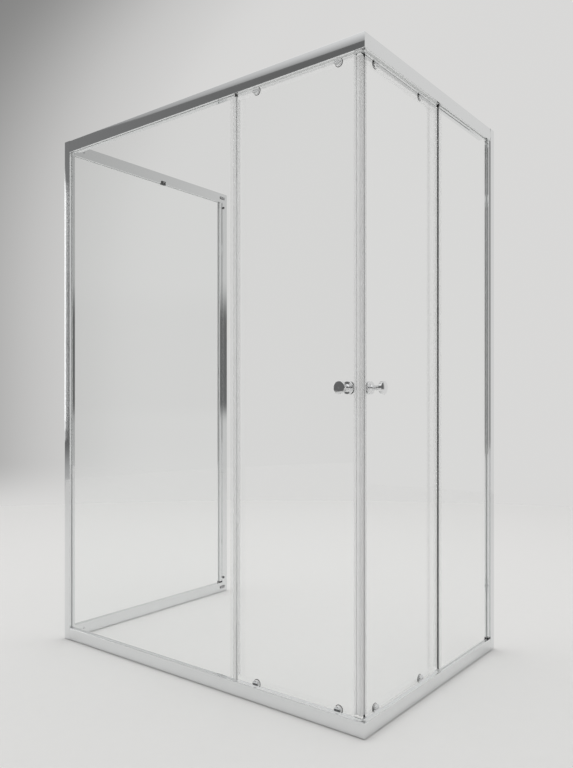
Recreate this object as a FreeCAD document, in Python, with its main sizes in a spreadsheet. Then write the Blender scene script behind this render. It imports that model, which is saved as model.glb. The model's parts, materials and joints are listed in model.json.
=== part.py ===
import FreeCAD, Part
import os
import re
import Sketcher

# Three-sided shower enclosure with two sliding doors that meet at the near corner.
# On each side, s runs along the side from its front corner, u runs inwards from the outer face, z is up.

os.makedirs("parts", exist_ok=True)
doc = FreeCAD.newDocument("shower_enclosure")

# Driving sizes in millimetres
driving = {
    "enclosure_height": 1900,
    "front_width": 1350,
    "side_depth": 900,
    "glass_thickness": 6,
    "glass_arris": 0.6,
    "glass_clearance": 0.05,
    # Rails: a hollow box with a glazing groove, and a roller track on its inner side
    "rail_face": 43,
    "rail_wall": 1.8,
    "rail_crown": 0.8,
    "rail_round": 1.2,
    "groove_flange": 5.9,
    "glazing_depth": 22,
    "gasket_thickness": 2.1,
    "gasket_height": 8,
    "setting_block": 4,
    "block_length": 60,
    "block_inset": 90,
    "glass_lift_room": 4,
    "track_drop": 34,
    "shelf_height": 9.8,
    "shelf_lip": 4,
    "weep_length": 22,
    "weep_inset": 160,
    "rib_height": 1.7,
    "rib_width": 1.6,
    "foot_gap": 0.8,
    # Rollers
    "wheel_radius": 10.5,
    "wheel_width": 6,
    "wheel_groove": 1.2,
    "wheel_groove_width": 2.4,
    "wheel_hub_radius": 5,
    "wheel_recess": 0.8,
    "wheel_rim": 1.8,
    "track_clearance": 0.25,
    "wheel_side_gap": 0.7,
    "axle_radius": 2.2,
    "axle_clearance": 0.05,
    "axle_head_radius": 3.6,
    "axle_head": 2,
    "axle_room": 1,
    "bracket_thickness": 3,
    "bracket_radius": 8.5,
    "cap_radius": 11.5,
    "cap_thickness": 4,
    "cap_clearance": 0.6,
    "cap_round": 1.2,
    "roller_hole_radius": 6,
    "boss_clearance": 0.3,
    "stud_radius": 3,
    "roller_inset": 60,
    "front_roller_pitch": 300,
    "side_roller_pitch": 270,
    # Doors and their seals
    "front_fixed_edge": 469,
    "side_fixed_edge": 461,
    "panel_overlap": 27,
    "door_edge_room": 5,
    "door_head_room": 2,
    "door_seal_room": 2,
    "door_travel": 360,
    "stop_length": 14,
    "stop_height": 12,
    "stop_gap": 0.5,
    "clip_wall": 1.2,
    "clip_depth": 10,
    "fin_wall": 1,
    "fin_gap": 0.4,
    "fin_pass": 3,
    "plug_height": 8,
    "seal_nose": 15,
    "seal_grip": 6,
    "seal_gap": 0.3,
    "seal_web": 1.6,
    "magnet_thickness": 3,
    "magnet_width": 5.2,
    # Knobs
    "knob_height": 944,
    "knob_room": 0.5,
    "knob_radius": 18.5,
    "knob_flange": 5,
    "knob_neck_radius": 7.5,
    "knob_head": 11,
    "knob_dome": 1.2,
    "knob_reach": 48,
    "knob_round": 1.5,
    "knob_blend": 4,
    "knob_back_thickness": 9,
    "knob_back_round": 2.5,
    "knob_hole_radius": 5,
    "knob_thread": 16,
    "bolt_radius": 3,
    "bolt_head_radius": 5.2,
    "bolt_head": 4,
    "bolt_clearance": 0.05,
    "washer_thickness": 1,
    "washer_radius": 15,
    # Corner post, wall channels and stiles
    "post_leg": 38,
    "post_round": 10,
    "post_core_wall": 5,
    "post_groove": 14,
    "glass_bite": 10,
    "profile_cap": 2,
    "channel_depth": 32,
    "wall_hole_radius": 2.75,
    "wall_hole_inset": 120,
    "stile_reach": 14,
    "stile_nest": 14,
    "stile_clearance": 0.3,
    "stile_wall": 1.6,
    "stile_lip": 3,
    "adjuster_inset": 66,
    "adjuster_radius": 2,
    "adjuster_head_radius": 4,
    "adjuster_head": 2.2,
    "adjuster_cover": 1.2,
    # Joints of the frame
    "corner_arm": 86,
    "corner_inset": 4,
    "corner_screw_place": 72,
    "corner_screw_bite": 14,
    "screw_radius": 2.1,
    "screw_head_radius": 3.8,
    "screw_head": 2.4,
    "screw_clearance": 0.1,
    "connector_length": 34,
    "connector_clearance": 0.2,
    "plate_length": 28,
    "plate_height": 11,
    "plate_thickness": 3,
    "clip_place": 493,
    "clip_length": 22,
    "clip_hook": 4,
    "infill_height": 6,
}

sheet = doc.addObject("Spreadsheet::Sheet", "sizes")
for row, (name, size) in enumerate(driving.items(), start=1):
    sheet.set(f"A{row}", name)
    sheet.set(f"B{row}", str(size))
    sheet.setAlias(f"B{row}", name)
doc.recompute()

# Places and sizes that follow from the driving ones
follows = {
    # Layers through a side, from the outer face inwards
    "groove_width": "glass_thickness + 2 * gasket_thickness",
    "body_depth": "groove_width + 2 * groove_flange",
    "groove_in": "groove_flange + groove_width",
    "fixed_out": "groove_flange + gasket_thickness",
    "fixed_in": "fixed_out + glass_thickness",
    "fixed_mid": "body_depth / 2",
    "cap_out": "body_depth + cap_clearance",
    "door_out": "cap_out + cap_thickness",
    "door_in": "door_out + glass_thickness",
    "door_mid": "door_out + glass_thickness / 2",
    "bracket_in": "door_in + bracket_thickness",
    "wheel_out": "bracket_in + wheel_side_gap",
    "wheel_mid": "wheel_out + wheel_width / 2",
    "wheel_in": "wheel_out + wheel_width",
    "axle_in": "wheel_in + wheel_side_gap + axle_head",
    "track_in": "axle_in + axle_room",
    "rail_depth": "track_in + rail_wall",
    "foot_out": "bracket_in + foot_gap",
    # Levels
    "top_edge": "enclosure_height - rail_face",
    "groove_roof": "top_edge + glazing_depth",
    "groove_floor": "rail_face - glazing_depth",
    "glass_low": "groove_floor + setting_block",
    "glass_high": "groove_roof - glass_lift_room",
    "wheel_root": "wheel_radius - wheel_groove",
    "foot_low": "enclosure_height - track_drop",
    "foot_top": "foot_low + rail_wall",
    "rib_top": "foot_top + rib_height",
    "wheel_high": "rib_top + track_clearance + wheel_root",
    "shelf_rib_top": "shelf_height + rib_height",
    "wheel_low": "shelf_rib_top + track_clearance + wheel_root",
    "door_low": "shelf_height + door_edge_room",
    "corner_block": "shelf_height - 2 * rail_wall - connector_clearance",
    "corner_low": "enclosure_height - rail_wall - corner_block",
    "door_high": "corner_low - door_head_room",
    "seal_low": "rail_face + plug_height",
    "seal_high": "top_edge - plug_height",
    "fin_low": "rail_face + cap_radius + fin_pass",
    "fin_high": "top_edge - cap_radius - fin_pass",
    # Places along the sides
    "front_rail_end": "front_width - post_leg",
    "side_rail_end": "side_depth - channel_depth",
    "stile_front": "side_rail_end - stile_reach",
    "stile_back": "side_rail_end + stile_nest",
    "front_glass_end": "front_rail_end + glass_bite",
    "side_glass_end": "stile_front + glass_bite",
    "return_glass_start": "post_leg - glass_bite",
    "door_lead": "door_mid + seal_nose",
    "front_trail": "front_fixed_edge + panel_overlap",
    "side_trail": "side_fixed_edge + panel_overlap",
    "roller_near": "door_lead + roller_inset",
    "knob_place": "door_lead + seal_grip + knob_radius + knob_room",
    "knob_overhang": "knob_reach - door_out",
    # The origin is the middle of the outline's foot
    "corner_x": "(front_width - knob_overhang) / 2",
    "left_x": "corner_x - front_width",
    "corner_y": "(knob_overhang - side_depth) / 2",
    # Sections
    "face_radius": "(rail_face * rail_face / 4 + rail_crown * rail_crown) / (2 * rail_crown)",
    "boss_radius": "roller_hole_radius - boss_clearance",
    "stud_hole": "stud_radius + axle_clearance",
    "seal_offset": "seal_gap / sqrt(2)",
    "seal_wall": "clip_wall * sqrt(2)",
    "magnet_run": "magnet_thickness * sqrt(2)",
    "seal_rear": "seal_offset + 2 * seal_wall + magnet_run",
    "house_out": "door_mid - magnet_width / 2 - clip_wall",
    "house_in": "door_mid + magnet_width / 2 + clip_wall",
    "corner_start": "body_depth + corner_inset",
    "cell_roof": "groove_roof + rail_wall",
    "cell_floor": "groove_floor - rail_wall",
    "screw_hole": "screw_radius + screw_clearance",
    "post_web": "post_leg - post_groove",
    "core_end": "body_depth - rail_wall",
    "stile_out": "rail_wall + stile_clearance",
    "stile_in": "body_depth - stile_out",
    "adjuster_place": "side_rail_end + stile_nest / 2",
    "adjuster_high": "enclosure_height - adjuster_inset",
    "adjuster_hole": "adjuster_radius + screw_clearance",
    "cap_low": "enclosure_height - profile_cap",
    "knob_base": "door_out - washer_thickness",
    "knob_tip": "door_out - knob_reach",
    "knob_bore": "bolt_radius + bolt_clearance",
    "dome_radius": "(knob_radius * knob_radius + knob_dome * knob_dome) / (2 * knob_dome)",
    "back_out": "door_in + washer_thickness",
    "back_in": "back_out + knob_back_thickness",
    "bolt_seat": "back_in - bolt_head",
    "wheel_bore": "axle_radius + axle_clearance",
    "rim_radius": "wheel_root - wheel_rim",
    "axle_neck": "wheel_in + wheel_side_gap",
}

# Where each side starts, how it is turned, and which way s runs along its own x axis
sides = {
    "front": {"x": "corner_x", "y": "corner_y", "turn": 0, "sign": -1},
    "side": {"x": "corner_x", "y": "corner_y", "turn": 90, "sign": 1},
    "return": {"x": "left_x", "y": "corner_y", "turn": -90, "sign": -1},
}
up = FreeCAD.Vector(0, 0, 1)


def bound(expression):
    def swap(match):
        word = match.group()
        if word in follows:
            return "(" + bound(follows[word]) + ")"
        return "sizes." + word if word in driving else word

    return re.sub(r"[a-z_]+", swap, str(expression))


def number(expression):
    return float(sheet.evalExpression(bound(expression)))


def along(side, place):
    return f"{sides[side]['sign']} * ({place})"


def new_body(label, side):
    body = doc.addObject("PartDesign::Body", label)
    body.Label = label
    body.AllowCompound = True
    body.Placement = FreeCAD.Placement(FreeCAD.Vector(), FreeCAD.Rotation(up, sides[side]["turn"]))
    body.setExpression("Placement.Base.x", bound(sides[side]["x"]))
    body.setExpression("Placement.Base.y", bound(sides[side]["y"]))
    return body


def sketch_on(body, role, offset=("0", "0", "0")):
    plane = [item for item in body.Origin.OriginFeatures if item.Role == role][0]
    sketch = body.newObject("Sketcher::SketchObject", body.Label + "_sketch")
    sketch.AttachmentSupport = [(plane, "")]
    sketch.MapMode = "FlatFace"
    for axis, place in zip("xyz", offset):
        sketch.setExpression("AttachmentOffset.Base." + axis, bound(place))
    return sketch


def pin(sketch, kind, geometry, point, place):
    index = sketch.addConstraint(Sketcher.Constraint(kind, -1, 1, geometry, point, number(place)))
    sketch.setExpression(f"Constraints[{index}]", bound(place))


def pin_point(sketch, geometry, point, x, y):
    pin(sketch, "DistanceX", geometry, point, x)
    pin(sketch, "DistanceY", geometry, point, y)


# A closed loop through corners. The edge that leaves a corner may be an arc about a centre instead.
def add_loop(sketch, corners, centres=None):
    centres = centres or {}
    first = sketch.GeometryCount
    points = [FreeCAD.Vector(number(x), number(y), 0) for x, y in corners]
    ends = []
    for index, start in enumerate(points):
        finish = points[(index + 1) % len(points)]
        if index in centres:
            centre = FreeCAD.Vector(*[number(place) for place in centres[index]], 0)
            radius = (start - centre).Length
            middle = centre + ((start + finish) / 2 - centre).normalize() * radius
            geometry = sketch.addGeometry(Part.Arc(start, middle, finish), False)
            steep = abs(finish.x - start.x) < abs(finish.y - start.y)
            kind, place = ("DistanceX", 0) if steep else ("DistanceY", 1)
            pin(sketch, kind, geometry, 3, centres[index][place])
        else:
            geometry = sketch.addGeometry(Part.LineSegment(start, finish), False)
        forward = (sketch.getPoint(geometry, 1) - start).Length < 1e-6
        ends.append((1, 2) if forward else (2, 1))
    for index, (x, y) in enumerate(corners):
        before = (index - 1) % len(corners)
        joint = (first + before, ends[before][1], first + index, ends[index][0])
        sketch.addConstraint(Sketcher.Constraint("Coincident", *joint))
        pin_point(sketch, first + index, ends[index][0], x, y)


def add_circle(sketch, x, y, radius):
    centre = FreeCAD.Vector(number(x), number(y), 0)
    geometry = sketch.addGeometry(Part.Circle(centre, up, number(radius)), False)
    pin_point(sketch, geometry, 3, x, y)
    index = sketch.addConstraint(Sketcher.Constraint("Radius", geometry, number(radius)))
    sketch.setExpression(f"Constraints[{index}]", bound(radius))


def rectangle(x0, y0, x1, y1):
    return [(x0, y0), (x1, y0), (x1, y1), (x0, y1)]


def pad(body, sketch, length):
    feature = body.newObject("PartDesign::Pad", body.Label + "_pad")
    feature.Profile = sketch
    feature.setExpression("Length", bound(length))
    doc.recompute()
    return feature


def pocket(body, sketch, length, reverse=False):
    before = body.Shape.Volume
    feature = body.newObject("PartDesign::Pocket", body.Label + "_pocket")
    feature.Profile = sketch
    feature.setExpression("Length", bound(length))
    feature.Reversed = reverse
    doc.recompute()
    if body.Shape.Volume >= before:
        raise RuntimeError(body.Label + ": a cut missed the piece")
    return feature


def revolve(body, sketch):
    feature = body.newObject("PartDesign::Revolution", body.Label + "_turned")
    feature.Profile = sketch
    feature.ReferenceAxis = (sketch, ["V_Axis"])
    feature.Angle = 360
    doc.recompute()
    return feature


# Rounds or bevels the edges that a test picks, in the body's own coordinates
def soften(body, kind, size, picked):
    base = body.Tip
    names = [f"Edge{i}" for i, edge in enumerate(base.Shape.Edges, start=1) if picked(edge)]
    feature = body.newObject("PartDesign::" + kind, body.Label + "_" + kind.lower())
    feature.Base = (base, names)
    feature.setExpression("Radius" if kind == "Fillet" else "Size", bound(size))
    doc.recompute()
    return feature


# A section in (u, z) run along a side from one place to another
def run_along(body, side, start, end, loops, centres=None, holes=()):
    offset = start if sides[side]["sign"] > 0 else f"-({end})"
    sketch = sketch_on(body, "YZ_Plane", ("0", "0", offset))
    for index, loop in enumerate(loops):
        add_loop(sketch, loop, centres if index == 0 else None)
    for hole in holes:
        add_circle(sketch, *hole)
    return pad(body, sketch, f"({end}) - ({start})")


# A section in (s, u) that stands from one level to another
def stand_up(body, side, low, high, loops):
    sketch = sketch_on(body, "XY_Plane", ("0", "0", low))
    for loop in loops:
        add_loop(sketch, [(along(side, place), inward) for place, inward in loop])
    return pad(body, sketch, f"({high}) - ({low})")


# A turned piece whose axis runs through a side at a place and level. Its profile is in (radius, u).
def turned(label, side, place, level, profile, centres=None):
    body = new_body(label, side)
    sketch = sketch_on(body, "XY_Plane", (along(side, place), "0", level))
    add_loop(sketch, profile, centres)
    revolve(body, sketch)
    return body


# A sketch in (s, z) whose pads grow outwards from a layer, and whose pockets cut inwards from it
def face_sketch(body, layer):
    return sketch_on(body, "XZ_Plane", ("0", "0", f"-({layer})"))


# A box between two places, two layers and two levels of a side
def bar(name, side, start, end, outer, inner, low, high):
    box = doc.addObject("Part::Box", name)
    long = f"({end}) - ({start})"
    thick = f"({inner}) - ({outer})"
    x, y = f"corner_x - ({end})", f"corner_y + ({outer})"
    across, deep = long, thick
    if side != "front":
        x = f"corner_x - ({inner})" if side == "side" else f"left_x + ({outer})"
        y = f"corner_y + ({start})"
        across, deep = thick, long
    for prop, size in (("Length", across), ("Width", deep), ("Height", f"({high}) - ({low})")):
        box.setExpression(prop, bound(size))
    for axis, place in (("x", x), ("y", y), ("z", low)):
        box.setExpression("Placement.Base." + axis, bound(place))
    return box


def group(label, members):
    node = doc.addObject("Part::Compound", label)
    node.Label = label
    node.Links = members
    nodes.append(node)
    return node


def keep(body):
    nodes.append(body)
    return body


nodes = []


def lies_along_x(edge):
    return abs(edge.BoundBox.XLength - edge.Length) < 1e-4


def is_upright(edge):
    return abs(edge.BoundBox.ZLength - edge.Length) < 1e-4


def is_round(edge, radius):
    if edge.Degenerated or not isinstance(edge.Curve, Part.Circle):
        return False
    return abs(edge.Curve.Radius - number(radius)) < 1e-4


# Top rails

def top_rail(side, start, end, tracked):
    body = new_body(side + "_top_rail", side)
    inner_edge = [("body_depth", "top_edge"), ("body_depth", "enclosure_height")]
    if tracked:
        inner_edge = [
            ("body_depth", "top_edge"),
            ("body_depth", "enclosure_height - rail_wall"),
            ("track_in", "enclosure_height - rail_wall"),
            ("track_in", "foot_top"),
            ("wheel_mid + rib_width / 2", "foot_top"),
            ("wheel_mid + rib_width / 2", "rib_top"),
            ("wheel_mid - rib_width / 2", "rib_top"),
            ("wheel_mid - rib_width / 2", "foot_top"),
            ("foot_out", "foot_top"),
            ("foot_out", "foot_low"),
            ("rail_depth", "foot_low"),
            ("rail_depth", "enclosure_height"),
        ]
    outline = [
        ("rail_crown", "enclosure_height"),
        ("rail_crown", "top_edge"),
        ("groove_flange", "top_edge"),
        ("groove_flange", "groove_roof"),
        ("groove_in", "groove_roof"),
        ("groove_in", "top_edge"),
    ] + inner_edge
    cell = [
        ("rail_crown + rail_wall", "enclosure_height - rail_wall"),
        ("rail_crown + rail_wall", "top_edge + rail_wall"),
        ("groove_flange - rail_wall", "top_edge + rail_wall"),
        ("groove_flange - rail_wall", "cell_roof"),
        ("groove_in + rail_wall", "cell_roof"),
        ("groove_in + rail_wall", "top_edge + rail_wall"),
        ("body_depth - rail_wall", "top_edge + rail_wall"),
        ("body_depth - rail_wall", "enclosure_height - rail_wall"),
    ]
    crown = {0: ("face_radius", "enclosure_height - rail_face / 2")}
    run_along(body, side, start, end, [outline, cell], crown)
    return body


# Bottom rails

def bottom_rail(side, start, end, tracked):
    body = new_body(side + "_bottom_rail", side)
    inner_edge = [("body_depth", "0"), ("body_depth", "rail_face")]
    loops = []
    if tracked:
        inner_edge = [
            ("rail_depth", "0"),
            ("rail_depth", "shelf_height + shelf_lip"),
            ("track_in", "shelf_height + shelf_lip"),
            ("track_in", "shelf_height"),
            ("wheel_mid + rib_width / 2", "shelf_height"),
            ("wheel_mid + rib_width / 2", "shelf_rib_top"),
            ("wheel_mid - rib_width / 2", "shelf_rib_top"),
            ("wheel_mid - rib_width / 2", "shelf_height"),
            ("body_depth", "shelf_height"),
            ("body_depth", "rail_face"),
        ]
        hollow = rectangle("body_depth", "rail_wall", "track_in", "shelf_height - rail_wall")
        loops.append(hollow)
    outline = [("rail_crown", "rail_face"), ("rail_crown", "0")] + inner_edge + [
        ("groove_in", "rail_face"),
        ("groove_in", "groove_floor"),
        ("groove_flange", "groove_floor"),
        ("groove_flange", "rail_face"),
    ]
    cell = [
        ("rail_crown + rail_wall", "rail_wall"),
        ("body_depth - rail_wall", "rail_wall"),
        ("body_depth - rail_wall", "rail_face - rail_wall"),
        ("groove_in + rail_wall", "rail_face - rail_wall"),
        ("groove_in + rail_wall", "cell_floor"),
        ("groove_flange - rail_wall", "cell_floor"),
        ("groove_flange - rail_wall", "rail_face - rail_wall"),
        ("rail_crown + rail_wall", "rail_face - rail_wall"),
    ]
    crown = {0: ("face_radius", "rail_face / 2")}
    run_along(body, side, start, end, [outline, cell] + loops, crown)
    return body


# The near ends of the front and side rails meet on the diagonal of the corner
def mitre(body, side, low):
    sketch = sketch_on(body, "XY_Plane", ("0", "0", low))
    reach = along(side, "rail_depth")
    add_loop(sketch, [("0", "0"), (reach, "rail_depth"), ("0", "rail_depth")])
    pocket(body, sketch, "rail_face", reverse=True)


def round_rail(body):
    outer = number("rail_crown")

    def at_face(edge):
        return lies_along_x(edge) and edge.CenterOfMass.y < outer + 1e-4

    soften(body, "Fillet", "rail_round", at_face)


# A screw from inside holds each mitred end to its corner bracket
def drill_corner_screw(body, side, level):
    sketch = face_sketch(body, "track_in")
    add_circle(sketch, along(side, "corner_screw_place"), level, "screw_hole")
    pocket(body, sketch, "rail_wall")


top_screw_level = "enclosure_height - rail_wall - corner_block / 2"
bottom_screw_level = "rail_wall + corner_block / 2"


def make_rails():
    ends = {
        "front": ("0", "front_rail_end"),
        "side": ("0", "side_rail_end"),
        "return": ("post_leg", "side_rail_end"),
    }
    for side, (start, end) in ends.items():
        tracked = side != "return"
        upper = top_rail(side, start, end, tracked)
        lower = bottom_rail(side, start, end, tracked)
        round_rail(upper)
        round_rail(lower)
        if tracked:
            mitre(upper, side, "top_edge")
            mitre(lower, side, "0")
            drill_corner_screw(upper, side, top_screw_level)
            drill_corner_screw(lower, side, bottom_screw_level)
            cut_weeps(lower, side, end)
        keep(upper)
        keep(lower)


# Notches in the inner lip of a bottom rail let water back into the tray
def cut_weeps(body, side, end):
    sketch = face_sketch(body, "track_in")
    for centre in ("rail_depth + weep_inset", f"({end}) / 2", f"({end}) - weep_inset"):
        near = along(side, f"({centre}) - weep_length / 2")
        far = along(side, f"({centre}) + weep_length / 2")
        add_loop(sketch, rectangle(near, "shelf_height", far, "shelf_height + shelf_lip"))
    pocket(body, sketch, "rail_wall")


# Corner post: an L of two hollow legs, each grooved for the edge of a glass, with a rounded outer corner
def make_corner_post():
    body = new_body("corner_post", "return")
    outline = [
        ("0", "0"),
        ("post_leg", "0"),
        ("post_leg", "groove_flange"),
        ("post_web", "groove_flange"),
        ("post_web", "groove_in"),
        ("post_leg", "groove_in"),
        ("post_leg", "body_depth"),
        ("body_depth", "body_depth"),
        ("body_depth", "post_leg"),
        ("groove_in", "post_leg"),
        ("groove_in", "post_web"),
        ("groove_flange", "post_web"),
        ("groove_flange", "post_leg"),
        ("0", "post_leg"),
    ]
    core = rectangle("post_core_wall", "post_core_wall", "core_end", "core_end")
    stand_up(body, "return", "0", "cap_low", [outline, core])
    round_post(body)
    across = face_sketch(body, "core_end")
    back = sketch_on(body, "YZ_Plane", ("0", "0", along("return", "core_end")))
    for level in connector_levels:
        add_circle(across, along("return", "fixed_mid"), level, "screw_hole")
        add_circle(back, "fixed_mid", level, "screw_hole")
    pocket(body, across, "post_web - core_end")
    pocket(body, back, "post_web - core_end")
    keep(body)


def round_post(body):
    def at_corner(edge):
        return is_upright(edge) and abs(edge.CenterOfMass.x) + abs(edge.CenterOfMass.y) < 1e-4

    soften(body, "Fillet", "post_round", at_corner)


# Plates that close the post and the wall channels, flush with the rails
def make_profile_caps():
    post_cap = new_body("post_cap", "return")
    outline = [
        ("0", "0"),
        ("post_leg", "0"),
        ("post_leg", "body_depth"),
        ("body_depth", "body_depth"),
        ("body_depth", "post_leg"),
        ("0", "post_leg"),
    ]
    stand_up(post_cap, "return", "cap_low", "enclosure_height", [outline])
    round_post(post_cap)
    box = ("side_rail_end", "side_depth", "0", "body_depth", "cap_low", "enclosure_height")
    plates = [bar(side + "_channel_cap", side, *box) for side in ("side", "return")]
    group("profile_caps", [post_cap] + plates)


# Hollow-rail connectors at the post, each drawn up to it by a screw from the core of the post
connector_levels = ["(cell_roof + enclosure_height - rail_wall) / 2", "(cell_floor + rail_wall) / 2"]


def make_connectors():
    ends = {
        "front": ("front_rail_end - connector_length", "front_rail_end"),
        "return": ("post_leg", "post_leg + connector_length"),
    }
    outer = "rail_crown + rail_wall + connector_clearance"
    inner = "body_depth - rail_wall - connector_clearance"
    levels = [
        ("cell_roof + connector_clearance", "enclosure_height - rail_wall - connector_clearance"),
        ("rail_wall + connector_clearance", "cell_floor - connector_clearance"),
    ]
    blocks = []
    for side, (start, end) in ends.items():
        body = new_body(side + "_connectors", side)
        for (low, high), level in zip(levels, connector_levels):
            block = [rectangle(outer, low, inner, high)]
            run_along(body, side, start, end, block, holes=[("fixed_mid", level, "screw_hole")])
        blocks.append(body)
    group("rail_connectors", blocks)


# Brackets that join the mitred rails at the near corner
def make_corner_brackets():
    body = new_body("corner_brackets", "front")
    outline = [
        ("corner_start", "corner_start"),
        ("corner_arm", "corner_start"),
        ("corner_arm", "track_in"),
        ("track_in", "track_in"),
        ("track_in", "corner_arm"),
        ("corner_start", "corner_arm"),
    ]
    stand_up(body, "front", "rail_wall", "rail_wall + corner_block", [outline])
    stand_up(body, "front", "corner_low", "corner_low + corner_block", [outline])
    bite_end = "track_in - corner_screw_bite"
    front_arm = face_sketch(body, bite_end)
    side_arm = sketch_on(body, "YZ_Plane", ("0", "0", along("front", bite_end)))
    for level in (top_screw_level, bottom_screw_level):
        add_circle(front_arm, along("front", "corner_screw_place"), level, "screw_hole")
        add_circle(side_arm, "corner_screw_place", level, "screw_hole")
    pocket(body, front_arm, "corner_screw_bite")
    pocket(body, side_arm, "corner_screw_bite")
    keep(body)


# A pan-headed screw. Its head lies between seat and crown, and its shank ends at tip.
def screw_profile(seat, crown, tip, radius="screw_radius", head="screw_head_radius"):
    return [("0", tip), (radius, tip), (radius, seat), (head, seat), (head, crown), ("0", crown)]


def make_frame_screws():
    screws = []
    inward = screw_profile("rail_depth", "rail_depth + screw_head", "track_in - corner_screw_bite")
    for side in ("front", "side"):
        for level in (top_screw_level, bottom_screw_level):
            screws.append(turned(side + "_corner_screw", side, "corner_screw_place", level, inward))
    drawn = screw_profile("core_end", "core_end - screw_head", "post_leg + connector_length")
    for level in connector_levels:
        screws.append(turned("front_post_screw", "return", "fixed_mid", level, drawn))
        screws.append(turned("return_post_screw", "front", "front_width - fixed_mid", level, drawn))
    group("frame_screws", screws)


# Wall channels, the stiles that slide in them, and the screws that set the stiles
def make_wall_channel(side):
    channel = new_body(side + "_wall_channel", side)
    outline = [
        ("side_rail_end", "0"),
        ("side_depth", "0"),
        ("side_depth", "body_depth"),
        ("side_rail_end", "body_depth"),
        ("side_rail_end", "body_depth - rail_wall"),
        ("side_depth - rail_wall", "body_depth - rail_wall"),
        ("side_depth - rail_wall", "rail_wall"),
        ("side_rail_end", "rail_wall"),
    ]
    stand_up(channel, side, "0", "cap_low", [outline])
    to_wall = sketch_on(channel, "YZ_Plane", ("0", "0", along(side, "side_depth")))
    for level in ("wall_hole_inset", "enclosure_height / 2", "enclosure_height - wall_hole_inset"):
        add_circle(to_wall, "fixed_mid", level, "wall_hole_radius")
    pocket(channel, to_wall, "rail_wall", reverse=sides[side]["sign"] < 0)
    drill_adjusters(channel, side, "body_depth - rail_wall", "rail_wall")
    keep(channel)

    stile = new_body(side + "_wall_stile", side)
    section = [
        ("stile_front", "stile_out"),
        ("stile_back", "stile_out"),
        ("stile_back", "stile_in"),
        ("stile_front", "stile_in"),
        ("stile_front", "groove_in"),
        ("stile_front + stile_lip", "groove_in"),
        ("stile_front + stile_lip", "stile_in - stile_wall"),
        ("stile_back - stile_wall", "stile_in - stile_wall"),
        ("stile_back - stile_wall", "stile_out + stile_wall"),
        ("stile_front + stile_lip", "stile_out + stile_wall"),
        ("stile_front + stile_lip", "groove_flange"),
        ("stile_front", "groove_flange"),
    ]
    stand_up(stile, side, "rail_face", "top_edge", [section])
    drill_adjusters(stile, side, "stile_in - stile_wall", "stile_wall")
    keep(stile)


def drill_adjusters(body, side, layer, depth):
    sketch = face_sketch(body, layer)
    for level in ("adjuster_inset", "adjuster_high"):
        add_circle(sketch, along(side, "adjuster_place"), level, "adjuster_hole")
    pocket(body, sketch, depth)


def make_adjusters():
    screws = []
    covers = []
    head_top = "body_depth + adjuster_head"
    cover_top = "body_depth + adjuster_head + adjuster_cover"
    tip = "stile_in - 2 * stile_wall"
    profile = screw_profile("body_depth", head_top, tip, "adjuster_radius", "adjuster_head_radius")
    cup = [
        ("adjuster_head_radius + screw_clearance", "body_depth"),
        ("adjuster_head_radius + adjuster_cover", "body_depth"),
        ("adjuster_head_radius + adjuster_cover", cover_top),
        ("0", cover_top),
        ("0", head_top),
        ("adjuster_head_radius + screw_clearance", head_top),
    ]
    for side in ("side", "return"):
        for level in ("adjuster_inset", "adjuster_high"):
            screws.append(turned(side + "_adjuster", side, "adjuster_place", level, profile))
            covers.append(turned(side + "_adjuster_cover", side, "adjuster_place", level, cup))
    group("stile_adjusting_screws", screws)
    group("adjuster_covers", covers)


# Glass with a polished bevel round its edge, a hair thinner than the gap it is held in
def glass_panel(label, side, layer, start, end, low, high, holes=()):
    body = new_body(label, side)
    sketch = face_sketch(body, layer + " - glass_clearance")
    near = along(side, start + " + glass_clearance")
    far = along(side, end + " - glass_clearance")
    add_loop(sketch, rectangle(near, low, far, high))
    for place, level, radius in holes:
        add_circle(sketch, along(side, place), level, radius)
    pad(body, sketch, "glass_thickness - 2 * glass_clearance")

    def on_rim(edge):
        return isinstance(edge.Curve, Part.Line) and edge.BoundBox.YLength < 1e-4

    soften(body, "Chamfer", "glass_arris", on_rim)
    keep(body)


fixed_runs = {
    "front": ("front_fixed_edge", "front_glass_end"),
    "side": ("side_fixed_edge", "side_glass_end"),
    "return": ("return_glass_start", "side_glass_end"),
}


def make_fixed_glass():
    names = {"front": "front_fixed_glass", "side": "side_fixed_glass", "return": "return_glass"}
    blocks = []
    for side, (start, end) in fixed_runs.items():
        glass_panel(names[side], side, "fixed_in", start, end, "glass_low", "glass_high")
        near = f"{start} + block_inset"
        far = f"{end} - block_inset - block_length"
        for place in (near, far):
            across = ("fixed_out", "fixed_in", "groove_floor", "glass_low")
            blocks.append(bar(side + "_setting_block", side, place, f"{place} + block_length", *across))
    group("glass_setting_blocks", blocks)


# Gasket strips at the mouth of every groove that holds glass
def make_gaskets():
    strips = []
    layers = [("groove_flange", "fixed_out"), ("fixed_in", "groove_in")]
    flat_runs = {
        "front": ("front_fixed_edge", "front_rail_end"),
        "side": ("side_fixed_edge", "side_glass_end"),
        "return": ("post_leg", "side_glass_end"),
    }
    upright_runs = [
        ("front", "front_rail_end", "front_rail_end + gasket_height"),
        ("return", "post_leg - gasket_height", "post_leg"),
        ("return", "stile_front", "stile_front + gasket_height"),
        ("side", "stile_front", "stile_front + gasket_height"),
    ]
    levels = [("top_edge", "top_edge + gasket_height"), ("rail_face - gasket_height", "rail_face")]
    for outer, inner in layers:
        for side, (start, end) in flat_runs.items():
            for low, high in levels:
                strips.append(bar(side + "_gasket", side, start, end, outer, inner, low, high))
        for side, start, end in upright_runs:
            box = (start, end, outer, inner, "rail_face", "top_edge")
            strips.append(bar(side + "_upright_gasket", side, *box))
    group("glazing_gaskets", strips)


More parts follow.
